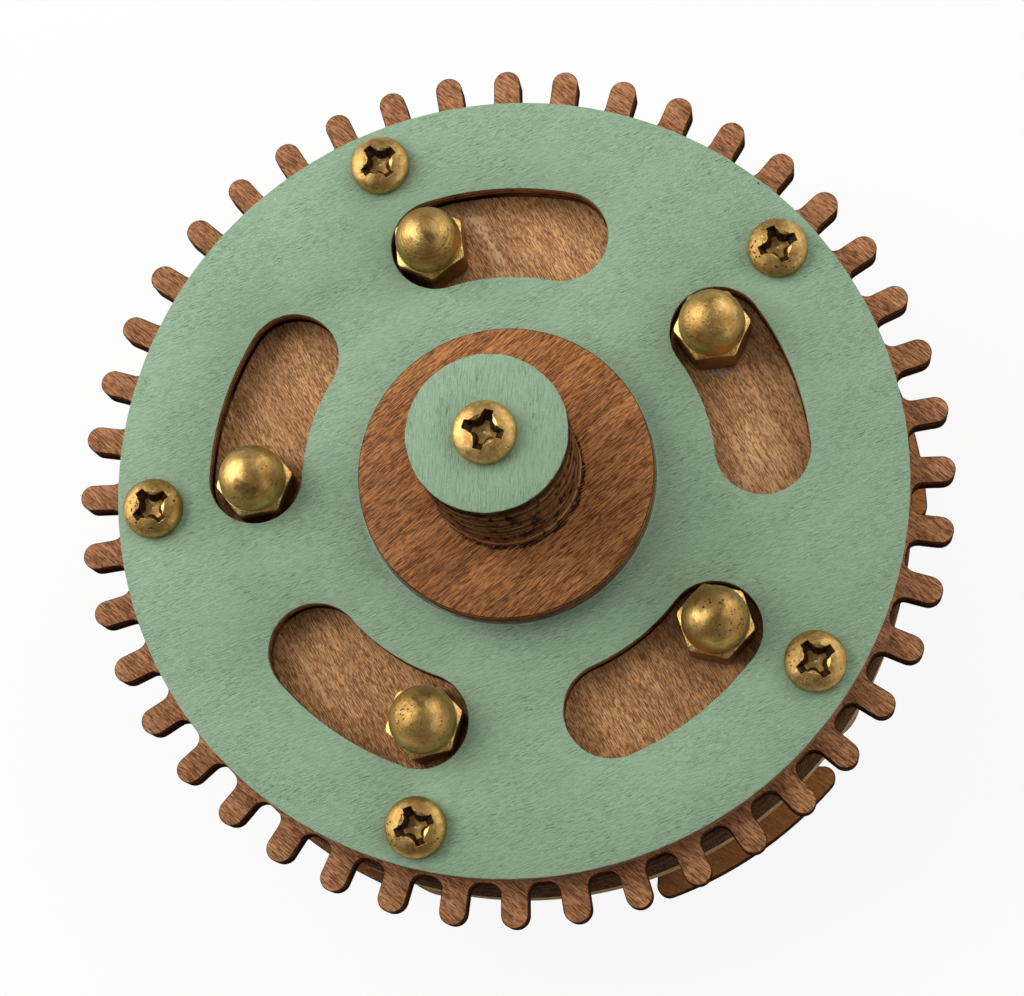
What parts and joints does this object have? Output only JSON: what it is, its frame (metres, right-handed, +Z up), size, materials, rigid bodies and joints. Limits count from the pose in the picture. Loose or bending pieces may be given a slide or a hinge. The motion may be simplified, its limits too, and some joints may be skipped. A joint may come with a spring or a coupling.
{
  "type": "wooden gear toy",
  "caption": "Toothed wooden wheel with a painted slotted face plate that turns about a knob-topped hub until cap nuts stop it.",
  "frame": {"origin": "centre of the base plate's underside, on the turning axis", "axes": "+Z up along the turning axis, out of the painted face; +X to the right and +Y to the top of the picture"},
  "size_m": [0.1, 0.1, 0.0533],
  "materials": {
    "painted_ply": "matt sage-green paint over fine grain",
    "stained_ply": "brown-stained birch plywood, burnt edges",
    "bare_ply": "unstained birch plywood",
    "aged_brass": "aged, pitted",
    "steel": "zinc plated",
    "clear_plastic": "clear sheet"
  },
  "bodies": {
    "base": {"base_plate": "stained_ply", "hub_disc_1": "stained_ply", "hub_disc_2": "stained_ply", "hub_disc_3": "stained_ply", "hub_disc_4": "stained_ply", "hub_disc_5": "stained_ply", "hub_disc_6": "stained_ply", "hub_disc_7": "stained_ply", "nut_disc": "stained_ply", "stack_bolts": "steel", "cap_nuts": "aged_brass", "centre_bushing": "aged_brass", "lower_slip_washer": "clear_plastic", "flange_disc": "stained_ply", "knob_disc_1": "stained_ply", "knob_disc_2": "stained_ply", "knob_disc_3": "stained_ply", "knob_disc_4": "stained_ply", "knob_disc_5": "stained_ply", "knob_cap": "painted_ply", "knob_screw": "aged_brass"},
    "wheel": {"face_plate": "painted_ply", "gear_ring": "stained_ply", "core_ring_1": "stained_ply", "core_ring_2": "stained_ply", "core_ring_3": "stained_ply", "core_ring_4": "stained_ply", "foot_ring": "bare_ply", "glide_pads": "bare_ply", "rim_screws": "aged_brass", "upper_slip_washer": "clear_plastic"}
  },
  "joints": [
    {"name": "wheel_turn", "type": "hinge", "parent": "base", "child": "wheel", "pos_m": [0, 0, 0.029], "axis": [0, 0, 1], "range_deg": [0, 30]}
  ]
}
